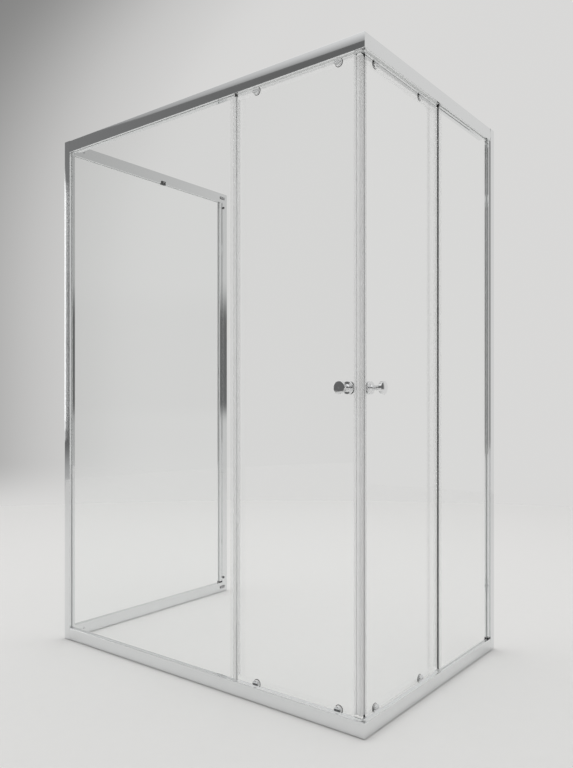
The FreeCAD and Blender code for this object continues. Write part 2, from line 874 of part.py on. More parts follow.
# Strips that close the empty stretch of each groove over and under the doors
def make_infills():
    levels = [("top_edge", "top_edge + infill_height"), ("rail_face - infill_height", "rail_face")]
    strips = []
    for side in ("front", "side"):
        for low, high in levels:
            box = ("groove_in", side + "_fixed_edge", "groove_flange", "groove_in", low, high)
            strips.append(bar(side + "_infill", side, *box))
    group("groove_infills", strips)


# Clear seal clipped on the free edge of a fixed glass, with a fin towards the door, and its end plugs
def make_edge_seals():
    plugs = []
    for side in ("front", "side"):
        edge = side + "_fixed_edge"
        clip = [
            (f"{edge} + clip_depth", "fixed_out - clip_wall"),
            (f"{edge} - clip_wall", "fixed_out - clip_wall"),
            (f"{edge} - clip_wall", "fixed_in + clip_wall"),
            (f"{edge} + clip_depth", "fixed_in + clip_wall"),
            (f"{edge} + clip_depth", "fixed_in"),
            (edge, "fixed_in"),
            (edge, "fixed_out"),
            (f"{edge} + clip_depth", "fixed_out"),
        ]
        root, tip = f"{edge} - clip_wall", f"{edge} - clip_wall + fin_wall"
        fin = rectangle(root, "fixed_in + clip_wall", tip, "door_out - fin_gap")
        seal = new_body(side + "_edge_seal", side)
        stand_up(seal, side, "seal_low", "seal_high", [clip])
        stand_up(seal, side, "fin_low", "fin_high", [fin])
        keep(seal)
        plug = new_body(side + "_edge_plugs", side)
        stand_up(plug, side, "rail_face", "seal_low", [clip])
        stand_up(plug, side, "seal_high", "top_edge", [clip])
        plugs.append(plug)
    group("edge_seal_plugs", plugs)


# Plates that tie the return rails to the post and the wall channel, and a clip that steadies the glass
def make_return_fittings():
    spans = [
        ("post_leg - plate_length / 2", "post_leg + plate_length / 2"),
        ("side_rail_end - plate_length / 2", "side_rail_end + plate_length / 2"),
    ]
    middles = ["top_edge + rail_face / 2", "rail_face / 2"]
    plates = []
    for start, end in spans:
        for middle in middles:
            levels = (f"{middle} - plate_height / 2", f"{middle} + plate_height / 2")
            layers = ("body_depth", "body_depth + plate_thickness")
            plates.append(bar("return_plate", "return", start, end, *layers, *levels))
    group("return_joint_plates", plates)

    clip = new_body("return_rail_clip", "return")
    hook = [
        ("body_depth", "top_edge"),
        ("fixed_in", "top_edge"),
        ("fixed_in", "top_edge - clip_hook"),
        ("body_depth + plate_thickness", "top_edge - clip_hook"),
        ("body_depth + plate_thickness", "top_edge + plate_height"),
        ("body_depth", "top_edge + plate_height"),
    ]
    run_along(clip, "return", "clip_place - clip_length / 2", "clip_place + clip_length / 2", [hook])
    keep(clip)


# Buffers on the track that stop the far top wheel of each door
def make_door_stops():
    stops = []
    for side in ("front", "side"):
        start = f"roller_near + {side}_roller_pitch + wheel_radius + door_travel + stop_gap"
        layers = ("foot_out", "track_in", "rib_top", "rib_top + stop_height")
        stops.append(bar(side + "_stop", side, start, f"{start} + stop_length", *layers))
    group("door_stops", stops)


# Doors

def make_door_seals(side, trail):
    nose_rear_out = "door_mid - seal_web / 2"
    nose_rear_in = "door_mid + seal_web / 2"
    magnet_out = "door_mid - magnet_width / 2"
    magnet_in = "door_mid + magnet_width / 2"
    magnet = [
        (f"{magnet_out} + seal_offset + seal_wall", magnet_out),
        (f"{magnet_in} + seal_offset + seal_wall", magnet_in),
        (f"{magnet_in} + seal_offset + seal_wall + magnet_run", magnet_in),
        (f"{magnet_out} + seal_offset + seal_wall + magnet_run", magnet_out),
    ]
    carrier = [
        ("door_lead + seal_grip", "door_out - clip_wall"),
        ("door_lead - clip_wall", "door_out - clip_wall"),
        ("door_lead - clip_wall", nose_rear_out),
        (f"{nose_rear_out} + seal_rear", nose_rear_out),
        ("house_out + seal_rear", "house_out"),
        ("house_out + seal_offset", "house_out"),
        ("house_in + seal_offset", "house_in"),
        ("house_in + seal_rear", "house_in"),
        (f"{nose_rear_in} + seal_rear", nose_rear_in),
        ("door_lead - clip_wall", nose_rear_in),
        ("door_lead - clip_wall", "door_in + clip_wall"),
        ("door_lead + seal_grip", "door_in + clip_wall"),
        ("door_lead + seal_grip", "door_in"),
        ("door_lead", "door_in"),
        ("door_lead", "door_out"),
        ("door_lead + seal_grip", "door_out"),
    ]
    overlap = [
        (f"{trail} - clip_depth", "door_out - clip_wall"),
        (f"{trail} + clip_wall - fin_wall", "door_out - clip_wall"),
        (f"{trail} + clip_wall - fin_wall", "fixed_in + fin_gap"),
        (f"{trail} + clip_wall", "fixed_in + fin_gap"),
        (f"{trail} + clip_wall", "door_in + clip_wall"),
        (f"{trail} - clip_depth", "door_in + clip_wall"),
        (f"{trail} - clip_depth", "door_in"),
        (trail, "door_in"),
        (trail, "door_out"),
        (f"{trail} - clip_depth", "door_out"),
    ]
    low, high = "rail_face + door_seal_room", "top_edge - door_seal_room"
    sections = {"magnet_seal": [carrier, magnet], "magnet_strip": [magnet], "overlap_seal": [overlap]}
    for name, loops in sections.items():
        body = new_body(f"{side}_door_{name}", side)
        stand_up(body, side, low, high, loops)
        keep(body)


def make_knob(side):
    place = ("knob_place", "knob_height")
    knob = turned(side + "_door_knob", side, *place, [
        ("knob_bore", "knob_base"),
        ("knob_radius", "knob_base"),
        ("knob_radius", "knob_base - knob_flange"),
        ("knob_neck_radius", "knob_base - knob_flange"),
        ("knob_neck_radius", "knob_tip + knob_head"),
        ("knob_radius", "knob_tip + knob_head"),
        ("knob_radius", "knob_tip + knob_dome"),
        ("0", "knob_tip"),
        ("0", "knob_base - knob_thread"),
        ("knob_bore", "knob_base - knob_thread"),
    ], {6: ("0", "knob_tip + dome_radius")})
    base = number("knob_base")
    soften(knob, "Fillet", "knob_blend", lambda edge: is_round(edge, "knob_neck_radius"))
    soften(
        knob,
        "Fillet",
        "knob_round",
        lambda edge: is_round(edge, "knob_radius") and abs(edge.CenterOfMass.y - base) > 1e-3,
    )
    keep(knob)
    back = turned(side + "_door_knob_back", side, *place, [
        ("knob_bore", "back_out"),
        ("knob_radius", "back_out"),
        ("knob_radius", "back_in"),
        ("bolt_head_radius + bolt_clearance", "back_in"),
        ("bolt_head_radius + bolt_clearance", "bolt_seat"),
        ("knob_bore", "bolt_seat"),
    ])
    inner_face = number("back_in")
    soften(
        back,
        "Fillet",
        "knob_back_round",
        lambda edge: is_round(edge, "knob_radius") and abs(edge.CenterOfMass.y - inner_face) < 1e-3,
    )
    keep(back)
    tip = "knob_base - knob_thread"
    bolt = screw_profile("bolt_seat", "back_in", tip, "bolt_radius", "bolt_head_radius")
    keep(turned(side + "_door_knob_bolt", side, *place, bolt))
    washers = [
        turned(side + "_washer", side, *place, rectangle("knob_hole_radius", start, "washer_radius", end))
        for start, end in (("knob_base", "door_out"), ("door_in", "back_out"))
    ]
    group(side + "_door_knob_washers", washers)


# Pads one disc at each roller, outwards from a layer
def pad_discs(body, side, layer, length, radius, spots):
    sketch = face_sketch(body, layer)
    for place, level in spots:
        add_circle(sketch, along(side, place), level, radius)
    pad(body, sketch, length)


def make_rollers(side, spots):
    studs = [(place, stud) for place, stud, _ in spots.values()]
    axles = [(place, axle) for place, _, axle in spots.values()]

    caps = new_body(side + "_door_roller_caps", side)
    pad_discs(caps, side, "door_out", "cap_thickness", "cap_radius", studs)
    outer_face = number("cap_out")
    soften(
        caps,
        "Fillet",
        "cap_round",
        lambda edge: is_round(edge, "cap_radius") and abs(edge.CenterOfMass.y - outer_face) < 1e-3,
    )
    pad_discs(caps, side, "door_in", "glass_thickness", "boss_radius", studs)
    pad_discs(caps, side, "bracket_in", "bracket_thickness", "stud_radius", studs)
    keep(caps)

    brackets = new_body(side + "_door_roller_brackets", side)
    bars = face_sketch(brackets, "bracket_in")
    for place, stud, axle in spots.values():
        near, far = along(side, f"{place} - bracket_radius"), along(side, f"{place} + bracket_radius")
        add_loop(bars, rectangle(near, stud, far, axle))
    pad(brackets, bars, "bracket_thickness")
    pad_discs(brackets, side, "bracket_in", "bracket_thickness", "bracket_radius", studs)
    pad_discs(brackets, side, "bracket_in", "bracket_thickness", "bracket_radius", axles)
    drilled = face_sketch(brackets, "door_in")
    for place, stud, axle in spots.values():
        add_circle(drilled, along(side, place), stud, "stud_hole")
        add_circle(drilled, along(side, place), axle, "wheel_bore")
    pocket(brackets, drilled, "bracket_thickness")
    keep(brackets)

    pins = new_body(side + "_door_roller_axles", side)
    pad_discs(pins, side, "axle_in", "axle_head", "axle_head_radius", axles)
    pad_discs(pins, side, "axle_neck", "axle_neck - door_in", "axle_radius", axles)
    keep(pins)

    profile = [
        ("wheel_bore", "wheel_out"),
        ("wheel_hub_radius", "wheel_out"),
        ("wheel_hub_radius", "wheel_out + wheel_recess"),
        ("rim_radius", "wheel_out + wheel_recess"),
        ("rim_radius", "wheel_out"),
        ("wheel_radius", "wheel_out"),
        ("wheel_radius", "wheel_mid - wheel_groove_width / 2"),
        ("wheel_root", "wheel_mid - wheel_groove_width / 2"),
        ("wheel_root", "wheel_mid + wheel_groove_width / 2"),
        ("wheel_radius", "wheel_mid + wheel_groove_width / 2"),
        ("wheel_radius", "wheel_in"),
        ("rim_radius", "wheel_in"),
        ("rim_radius", "wheel_in - wheel_recess"),
        ("wheel_hub_radius", "wheel_in - wheel_recess"),
        ("wheel_hub_radius", "wheel_in"),
        ("wheel_bore", "wheel_in"),
    ]
    for name, (place, _, axle) in spots.items():
        keep(turned(f"{side}_{name}_wheel", side, place, axle, profile))


def make_door(side):
    trail = side + "_trail"
    far = f"roller_near + {side}_roller_pitch"
    spots = {
        "top_near": ("roller_near", "top_edge", "wheel_high"),
        "top_far": (far, "top_edge", "wheel_high"),
        "bottom_near": ("roller_near", "rail_face", "wheel_low"),
        "bottom_far": (far, "rail_face", "wheel_low"),
    }
    holes = [(place, stud, "roller_hole_radius") for place, stud, _ in spots.values()]
    holes.append(("knob_place", "knob_height", "knob_hole_radius"))
    glass_panel(side + "_door_glass", side, "door_in", "door_lead", trail, "door_low", "door_high", holes)
    make_door_seals(side, trail)
    make_knob(side)
    make_rollers(side, spots)


def write_parts():
    doc.recompute()
    for item in doc.Objects:
        if "Invalid" in item.State or "Error" in item.State:
            raise RuntimeError(item.Label + " failed")
    for node in nodes:
        if node.Shape.isNull() or not node.Shape.isValid():
            raise RuntimeError(node.Label + " has no valid shape")
    for node in nodes:
        node.Shape.exportStep("parts/" + node.Label + ".step")
        print(node.Label, len(node.Shape.Solids), round(node.Shape.Volume))


make_rails()
make_corner_post()
make_profile_caps()
make_connectors()
make_corner_brackets()
make_frame_screws()
for wall_side in ("side", "return"):
    make_wall_channel(wall_side)
make_adjusters()
make_fixed_glass()
make_gaskets()
make_infills()
make_edge_seals()
make_return_fittings()
make_door_stops()
for door_side in ("front", "side"):
    make_door(door_side)
write_parts()
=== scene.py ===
import bmesh
import bpy
import json
import math
from mathutils import Matrix, Vector


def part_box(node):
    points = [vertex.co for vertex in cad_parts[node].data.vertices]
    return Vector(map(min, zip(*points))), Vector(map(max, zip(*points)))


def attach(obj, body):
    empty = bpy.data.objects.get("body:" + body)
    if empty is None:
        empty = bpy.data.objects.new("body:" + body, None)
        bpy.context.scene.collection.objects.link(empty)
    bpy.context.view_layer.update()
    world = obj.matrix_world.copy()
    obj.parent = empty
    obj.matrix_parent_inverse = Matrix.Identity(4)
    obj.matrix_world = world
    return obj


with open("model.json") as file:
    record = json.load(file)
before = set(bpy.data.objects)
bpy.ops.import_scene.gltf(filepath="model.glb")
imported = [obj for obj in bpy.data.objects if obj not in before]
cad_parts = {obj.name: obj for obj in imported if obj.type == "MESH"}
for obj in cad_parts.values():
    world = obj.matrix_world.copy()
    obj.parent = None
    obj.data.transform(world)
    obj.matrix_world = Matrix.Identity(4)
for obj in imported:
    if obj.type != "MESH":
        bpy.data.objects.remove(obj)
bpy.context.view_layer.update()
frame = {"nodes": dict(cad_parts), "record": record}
nodes = frame["nodes"]
slotOf = {part["node"]: part["material_slot"] for part in frame["record"]["subparts"]}
scene = bpy.context.scene
scene.view_settings.view_transform = "Standard"
print("frame loaded with", len(nodes), "pieces")


# Camera
cameraLook = {
    "lens": 33.375,
    "sensor": 36.0,
    "turn": 37.88,               # degrees to the left of +Y
    "fromCorner": (1.0054, -1.6337),  # plan distance from the near corner, metres
    "height": 0.905,
    "shiftUp": 0.0234,
}


def makeCamera():
    low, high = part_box("front_top_rail")
    data = bpy.data.cameras.new("viewCamera")
    data.lens = cameraLook["lens"]
    data.sensor_width = cameraLook["sensor"]
    data.shift_y = cameraLook["shiftUp"]
    camera = bpy.data.objects.new("viewCamera", data)
    away = cameraLook["fromCorner"]
    camera.location = (high.x + away[0], low.y + away[1], cameraLook["height"])
    camera.rotation_euler = (math.radians(90), 0, math.radians(cameraLook["turn"]))
    scene.collection.objects.link(camera)
    scene.camera = camera


makeCamera()
print("camera placed")


# Node helpers
def addNode(tree, kind, inputs=None, **settings):
    node = tree.nodes.new(kind)
    for name, value in settings.items():
        setattr(node, name, value)
    for name, value in (inputs or {}).items():
        node.inputs[name].default_value = value
    return node


def join(tree, source, target):
    tree.links.new(source, target)


def newMaterial(name, **sockets):
    material = bpy.data.materials.new(name)
    material.use_nodes = True
    tree = material.node_tree
    shader = tree.nodes["Principled BSDF"]
    for socket, value in sockets.items():
        shader.inputs[socket.replace("_", " ")].default_value = value
    return material, tree, shader


def newGroup(name, inputs, outputs):
    group = bpy.data.node_groups.new(name, "ShaderNodeTree")
    for label, kind, value in inputs:
        socket = group.interface.new_socket(label, in_out="INPUT", socket_type=kind)
        if value is not None:
            socket.default_value = value
    for label, kind in outputs:
        group.interface.new_socket(label, in_out="OUTPUT", socket_type=kind)
    return group, addNode(group, "NodeGroupInput"), addNode(group, "NodeGroupOutput")


def mixColor(tree, factor, first, second):
    mix = addNode(tree, "ShaderNodeMix", data_type="RGBA")
    join(tree, factor, mix.inputs["Factor"])
    for socket, value in (("A", first), ("B", second)):
        if isinstance(value, tuple):
            mix.inputs[socket].default_value = value
        else:
            join(tree, value, mix.inputs[socket])
    return mix.outputs["Result"]


def spanOf(limits):
    return {"From Min": limits[0], "From Max": limits[1]}


def ramp(tree, value, limits, kind="SMOOTHSTEP"):
    node = addNode(tree, "ShaderNodeMapRange", spanOf(limits), interpolation_type=kind)
    join(tree, value, node.inputs["Value"])
    return node.outputs["Result"]


def times(tree, first, second):
    node = addNode(tree, "ShaderNodeMath", operation="MULTIPLY")
    join(tree, first, node.inputs[0])
    join(tree, second, node.inputs[1])
    return node.outputs[0]


def larger(tree, first, second):
    node = addNode(tree, "ShaderNodeMath", operation="MAXIMUM")
    join(tree, first, node.inputs[0])
    join(tree, second, node.inputs[1])
    return node.outputs[0]


def dotWith(tree, direction, axis):
    node = addNode(tree, "ShaderNodeVectorMath", operation="DOT_PRODUCT")
    node.inputs[1].default_value = axis
    join(tree, direction, node.inputs[0])
    return node.outputs["Value"]


# Fine lines that an extrusion die or a brush leaves along a piece, and faint wipe marks over them
lineLook = {
    "lines": {"Scale": 1.0, "Detail": 3.0, "Roughness": 0.6},
    "wipes": {"Scale": 7.0, "Detail": 4.0, "Roughness": 0.55},
    "contrast": (0.3, 0.7),      # noise levels that become smoothest and roughest
}


def makeDrawnLines():
    group, enter, leave = newGroup(
        "drawnLines",
        [
            ("Lines", "NodeSocketVector", None),
            ("Surface", "NodeSocketVector", None),
            ("Smoothest", "NodeSocketFloat", 0.08),
            ("Roughest", "NodeSocketFloat", 0.16),
            ("Wipes", "NodeSocketFloat", 0.04),
        ],
        [("Roughness", "NodeSocketFloat"), ("Height", "NodeSocketFloat")],
    )
    lines = addNode(group, "ShaderNodeTexNoise", lineLook["lines"])
    wipes = addNode(group, "ShaderNodeTexNoise", lineLook["wipes"])
    spread = addNode(group, "ShaderNodeMapRange", spanOf(lineLook["contrast"]))
    haze = addNode(group, "ShaderNodeMath", operation="MULTIPLY_ADD")
    join(group, enter.outputs["Lines"], lines.inputs["Vector"])
    join(group, enter.outputs["Surface"], wipes.inputs["Vector"])
    join(group, lines.outputs["Fac"], spread.inputs["Value"])
    join(group, enter.outputs["Smoothest"], spread.inputs["To Min"])
    join(group, enter.outputs["Roughest"], spread.inputs["To Max"])
    join(group, wipes.outputs["Fac"], haze.inputs[0])
    join(group, enter.outputs["Wipes"], haze.inputs[1])
    join(group, spread.outputs["Result"], haze.inputs[2])
    join(group, haze.outputs[0], leave.inputs["Roughness"])
    join(group, lines.outputs["Fac"], leave.inputs["Height"])
    return group


# Fine grain of a moulded or extruded plastic, with a slow drift of tone
grainLook = {
    "grain": {"Detail": 2.0},
    "drift": {"Scale": 24.0, "Detail": 3.0},
    "contrast": (0.3, 0.7),
    "size": 1500.0,              # grains along a metre
    "depth": 0.00002,
    "strength": 0.25,
}


def makeMouldGrain():
    group, enter, leave = newGroup(
        "mouldGrain",
        [
            ("Surface", "NodeSocketVector", None),
            ("Grain", "NodeSocketFloat", 1800.0),
            ("Light", "NodeSocketColor", (0.1, 0.1, 0.1, 1)),
            ("Dark", "NodeSocketColor", (0.05, 0.05, 0.05, 1)),
            ("Smoothest", "NodeSocketFloat", 0.3),
            ("Roughest", "NodeSocketFloat", 0.45),
        ],
        [("Color", "NodeSocketColor"), ("Roughness", "NodeSocketFloat"), ("Height", "NodeSocketFloat")],
    )
    grain = addNode(group, "ShaderNodeTexNoise", grainLook["grain"])
    drift = addNode(group, "ShaderNodeTexNoise", grainLook["drift"])
    tone = addNode(group, "ShaderNodeMix", data_type="RGBA")
    rough = addNode(group, "ShaderNodeMapRange", spanOf(grainLook["contrast"]))
    join(group, enter.outputs["Surface"], grain.inputs["Vector"])
    join(group, enter.outputs["Grain"], grain.inputs["Scale"])
    join(group, enter.outputs["Surface"], drift.inputs["Vector"])
    join(group, drift.outputs["Fac"], tone.inputs["Factor"])
    join(group, enter.outputs["Dark"], tone.inputs["A"])
    join(group, enter.outputs["Light"], tone.inputs["B"])
    join(group, grain.outputs["Fac"], rough.inputs["Value"])
    join(group, enter.outputs["Smoothest"], rough.inputs["To Min"])
    join(group, enter.outputs["Roughest"], rough.inputs["To Max"])
    join(group, tone.outputs["Result"], leave.inputs["Color"])
    join(group, rough.outputs["Result"], leave.inputs["Roughness"])
    join(group, grain.outputs["Fac"], leave.inputs["Height"])
    return group


drawnLines = makeDrawnLines()
mouldGrain = makeMouldGrain()
print("shared finishes ready")


# Metals
metalLook = {
    "rail": {"color": (0.86, 0.87, 0.875, 1), "smooth": (0.025, 0.06), "wipes": 0.015, "strength": 0.06},
    "fitting": {"color": (0.88, 0.885, 0.89, 1), "smooth": (0.03, 0.05), "wipes": 0.02, "strength": 0.0},
    "steel": {"color": (0.62, 0.62, 0.63, 1), "smooth": (0.24, 0.36), "wipes": 0.05, "strength": 0.1},
    "cast": {"color": (0.55, 0.56, 0.57, 1), "smooth": (0.4, 0.55), "wipes": 0.1, "strength": 0.4},
}
dieLook = {
    "along": 2.5,                # how slowly the die lines change along a piece
    "across": 1400.0,            # how fine they are across it
    "depth": 0.000004,
}


def drawnMetal(name, look, scale):
    material, tree, shader = newMaterial(name, Base_Color=look["color"], Metallic=1.0)
    place = addNode(tree, "ShaderNodeTexCoord")
    stretch = addNode(tree, "ShaderNodeMapping", {"Scale": scale})
    group = addNode(tree, "ShaderNodeGroup", node_tree=drawnLines)
    group.inputs["Smoothest"].default_value = look["smooth"][0]
    group.inputs["Roughest"].default_value = look["smooth"][1]
    group.inputs["Wipes"].default_value = look["wipes"]
    bump = addNode(tree, "ShaderNodeBump", {"Strength": look["strength"], "Distance": dieLook["depth"]})
    join(tree, place.outputs["Object"], stretch.inputs["Vector"])
    join(tree, stretch.outputs["Vector"], group.inputs["Lines"])
    join(tree, place.outputs["Object"], group.inputs["Surface"])
    join(tree, group.outputs["Roughness"], shader.inputs["Roughness"])
    join(tree, group.outputs["Height"], bump.inputs["Height"])
    join(tree, bump.outputs["Normal"], shader.inputs["Normal"])
    return material


def lineScale(axis):
    scale = [dieLook["across"]] * 3
    scale[axis] = dieLook["along"]
    return scale


railMetal = [
    drawnMetal("polishedRail" + letter, metalLook["rail"], lineScale(axis))
    for axis, letter in enumerate("XYZ")
]
evenScale = [dieLook["across"]] * 3
fittingMetal = drawnMetal("mirrorFitting", metalLook["fitting"], evenScale)
steelMetal = drawnMetal("stainlessSteel", metalLook["steel"], evenScale)
castMetal = drawnMetal("castAluminium", metalLook["cast"], evenScale)


# Glass and clear plastic let lamps and soft light through without a dark shadow
def letLightThrough(tree, shader, tint):
    path = addNode(tree, "ShaderNodeLightPath")
    clear = addNode(tree, "ShaderNodeBsdfTransparent", {"Color": tint})
    mix = addNode(tree, "ShaderNodeMixShader")
    either = larger(tree, path.outputs["Is Shadow Ray"], path.outputs["Is Diffuse Ray"])
    join(tree, either, mix.inputs[0])
    join(tree, shader.outputs["BSDF"], mix.inputs[1])
    join(tree, clear.outputs["BSDF"], mix.inputs[2])
    join(tree, mix.outputs["Shader"], tree.nodes["Material Output"].inputs["Surface"])


glassLook = {
    "face": (0.995, 1.0, 0.998, 1),
    "polishedEdge": (0.95, 0.98, 0.97, 1),
    # painted shade: the free edges of the fixed panes are darker than the polished edges of the same
    # glass, the side pane's most, with part of it the glass's own edge colour
    "frontEdgeAndShade": (0.9, 0.93, 0.92, 1),
    "sideEdgeAndShade": (0.55, 0.59, 0.58, 1),
    "frontCover": 0.4,           # how much of an edge shows
    "sideCover": 1.0,
    "hiddenCover": 0.05,         # the same inside a rail or a seal
    "edgeTurn": (0.4, 0.6),      # how far a face turns before it counts as an edge
    "bend": 1.42,                # index of refraction
    "shadowTint": (0.97, 0.975, 0.973, 1),
}


# Tints the upright edges of a pane, found from the axis it runs along, and opens the edges hidden in
# rails; on the fixed panes the tint is partly the glass's own edge colour and partly painted shade
def makeEdgeTint():
    group, enter, leave = newGroup(
        "edgeTint",
        [
            ("Normal", "NodeSocketVector", None),
            ("Run", "NodeSocketVector", (1, 0, 0)),
            ("Face", "NodeSocketColor", (1, 1, 1, 1)),
            ("Edge", "NodeSocketColor", (0.5, 0.5, 0.5, 1)),
            ("Edge Cover", "NodeSocketFloat", 1.0),
            ("Hidden Cover", "NodeSocketFloat", 0.0),
        ],
        [("Color", "NodeSocketColor"), ("Cover", "NodeSocketFloat")],
    )
    turn = spanOf(glassLook["edgeTurn"])
    along = addNode(group, "ShaderNodeVectorMath", operation="DOT_PRODUCT")
    size = addNode(group, "ShaderNodeMath", operation="ABSOLUTE")
    edge = addNode(group, "ShaderNodeMapRange", turn)
    tint = addNode(group, "ShaderNodeMix", data_type="RGBA")
    upright = dotWith(group, enter.outputs["Normal"], (0, 0, 1))
    level = addNode(group, "ShaderNodeMath", operation="ABSOLUTE")
    hidden = addNode(group, "ShaderNodeMapRange", {**turn, "To Min": 1.0})
    shown = addNode(group, "ShaderNodeMapRange", {**turn, "To Min": 1.0})
    join(group, upright, level.inputs[0])
    join(group, level.outputs[0], hidden.inputs["Value"])
    join(group, enter.outputs["Hidden Cover"], hidden.inputs["To Max"])
    join(group, size.outputs[0], shown.inputs["Value"])
    join(group, enter.outputs["Edge Cover"], shown.inputs["To Max"])
    cover = times(group, hidden.outputs["Result"], shown.outputs["Result"])
    join(group, cover, leave.inputs["Cover"])
    join(group, enter.outputs["Normal"], along.inputs[0])
    join(group, enter.outputs["Run"], along.inputs[1])
    join(group, along.outputs["Value"], size.inputs[0])
    join(group, size.outputs[0], edge.inputs["Value"])
    join(group, edge.outputs["Result"], tint.inputs["Factor"])
    join(group, enter.outputs["Face"], tint.inputs["A"])
    join(group, enter.outputs["Edge"], tint.inputs["B"])
    join(group, tint.outputs["Result"], leave.inputs["Color"])
    return group


edgeTint = makeEdgeTint()


def makeGlass(name, run, edge, edgeCover):
    clear = {"Roughness": 0.0, "IOR": glassLook["bend"], "Transmission_Weight": 1.0}
    material, tree, shader = newMaterial(name, **clear)
    place = addNode(tree, "ShaderNodeTexCoord")
    group = addNode(tree, "ShaderNodeGroup", node_tree=edgeTint)
    group.inputs["Run"].default_value = run
    group.inputs["Face"].default_value = glassLook["face"]
    group.inputs["Edge"].default_value = edge
    group.inputs["Edge Cover"].default_value = edgeCover
    group.inputs["Hidden Cover"].default_value = glassLook["hiddenCover"]
    join(tree, place.outputs["Normal"], group.inputs["Normal"])
    join(tree, group.outputs["Color"], shader.inputs["Base Color"])
    join(tree, group.outputs["Cover"], shader.inputs["Alpha"])
    letLightThrough(tree, shader, glassLook["shadowTint"])
    return material


# Plastics and rubbers
plasticLook = {
    "clearSeal": {
        "light": (0.88, 0.89, 0.89, 1), "dark": (0.8, 0.81, 0.81, 1),
        "smooth": (0.12, 0.2), "alpha": 0.08,
    },
    "milkySeal": {
        "light": (0.95, 0.955, 0.955, 1), "dark": (0.92, 0.925, 0.925, 1),
        "smooth": (0.2, 0.3), "alpha": 0.5,
    },
    "edgeSeal": {
        "light": (0.93, 0.935, 0.935, 1), "dark": (0.88, 0.885, 0.885, 1),
        "smooth": (0.2, 0.3), "alpha": 0.42,
    },
    "jointPlate": {"light": (0.34, 0.34, 0.345, 1), "dark": (0.26, 0.26, 0.265, 1), "smooth": (0.3, 0.42)},
    "magnetStrip": {"light": (0.88, 0.88, 0.87, 1), "dark": (0.82, 0.82, 0.81, 1), "smooth": (0.4, 0.5)},
    "blackPlastic": {
        "light": (0.03, 0.03, 0.031, 1), "dark": (0.012, 0.012, 0.012, 1),
        "smooth": (0.34, 0.48),
    },
    "greyGasket": {"light": (0.74, 0.75, 0.75, 1), "dark": (0.66, 0.67, 0.67, 1), "smooth": (0.35, 0.5)},
    "settingBlock": {"light": (0.2, 0.2, 0.2, 1), "dark": (0.14, 0.14, 0.14, 1), "smooth": (0.5, 0.65)},
    "stopRubber": {"light": (0.05, 0.05, 0.05, 1), "dark": (0.03, 0.03, 0.03, 1), "smooth": (0.55, 0.7)},
    "turnedNylon": {"light": (0.86, 0.86, 0.84, 1), "dark": (0.76, 0.76, 0.73, 1), "smooth": (0.32, 0.42)},
}
sealTint = (0.985, 0.985, 0.985, 1)
plasticBend = 1.5                # index of refraction


def addGrain(tree, shader, look, size):
    place = addNode(tree, "ShaderNodeTexCoord")
    group = addNode(tree, "ShaderNodeGroup", node_tree=mouldGrain)
    group.inputs["Grain"].default_value = size
    group.inputs["Light"].default_value = look["light"]
    group.inputs["Dark"].default_value = look["dark"]
    group.inputs["Smoothest"].default_value = look["smooth"][0]
    group.inputs["Roughest"].default_value = look["smooth"][1]
    depth = {"Strength": grainLook["strength"], "Distance": grainLook["depth"]}
    bump = addNode(tree, "ShaderNodeBump", depth)
    join(tree, place.outputs["Object"], group.inputs["Surface"])
    join(tree, group.outputs["Color"], shader.inputs["Base Color"])
    join(tree, group.outputs["Roughness"], shader.inputs["Roughness"])
    join(tree, group.outputs["Height"], bump.inputs["Height"])
    join(tree, bump.outputs["Normal"], shader.inputs["Normal"])


def makePlastic(name):
    look = plasticLook[name]
    material, tree, shader = newMaterial(name, IOR=plasticBend)
    addGrain(tree, shader, look, grainLook["size"])
    if "alpha" in look:
        shader.inputs["Alpha"].default_value = look["alpha"]
        letLightThrough(tree, shader, sealTint)
    return material


# Clear plugs on the edge seals, with a small black tip at the head of each fixed pane
plugLook = {
    "tip": (0.015, 0.015, 0.015, 1),
    "tipFront": (0.1905, 0.1915),  # metres along the front, where the tip starts
    "tipSide": (-0.0265, -0.0255),
    "tipHeight": (1.0, 1.1),
    "between": (0.3, 0.31),      # between the front plugs and the side plugs
}


def makePlugs():
    look = plasticLook["edgeSeal"]
    material, tree, shader = newMaterial("edgePlug", IOR=plasticBend)
    addGrain(tree, shader, look, grainLook["size"])
    parts = addNode(tree, "ShaderNodeSeparateXYZ")
    join(tree, addNode(tree, "ShaderNodeTexCoord").outputs["Object"], parts.inputs["Vector"])
    back = addNode(tree, "ShaderNodeMath", {1: -1.0}, operation="MULTIPLY")
    join(tree, parts.outputs["Y"], back.inputs[0])
    aside = ramp(tree, parts.outputs["X"], plugLook["between"])
    front = ramp(tree, parts.outputs["X"], plugLook["tipFront"])
    near = addNode(tree, "ShaderNodeMix", data_type="FLOAT")
    join(tree, aside, near.inputs["Factor"])
    join(tree, front, near.inputs["A"])
    join(tree, ramp(tree, back.outputs[0], plugLook["tipSide"]), near.inputs["B"])
    tip = times(tree, near.outputs["Result"], ramp(tree, parts.outputs["Z"], plugLook["tipHeight"]))
    plain = shader.inputs["Base Color"].links[0].from_socket
    join(tree, mixColor(tree, tip, plain, plugLook["tip"]), shader.inputs["Base Color"])
    cover = addNode(tree, "ShaderNodeMapRange", {"To Min": look["alpha"]})
    join(tree, tip, cover.inputs["Value"])
    join(tree, cover.outputs["Result"], shader.inputs["Alpha"])
    letLightThrough(tree, shader, sealTint)
    return material


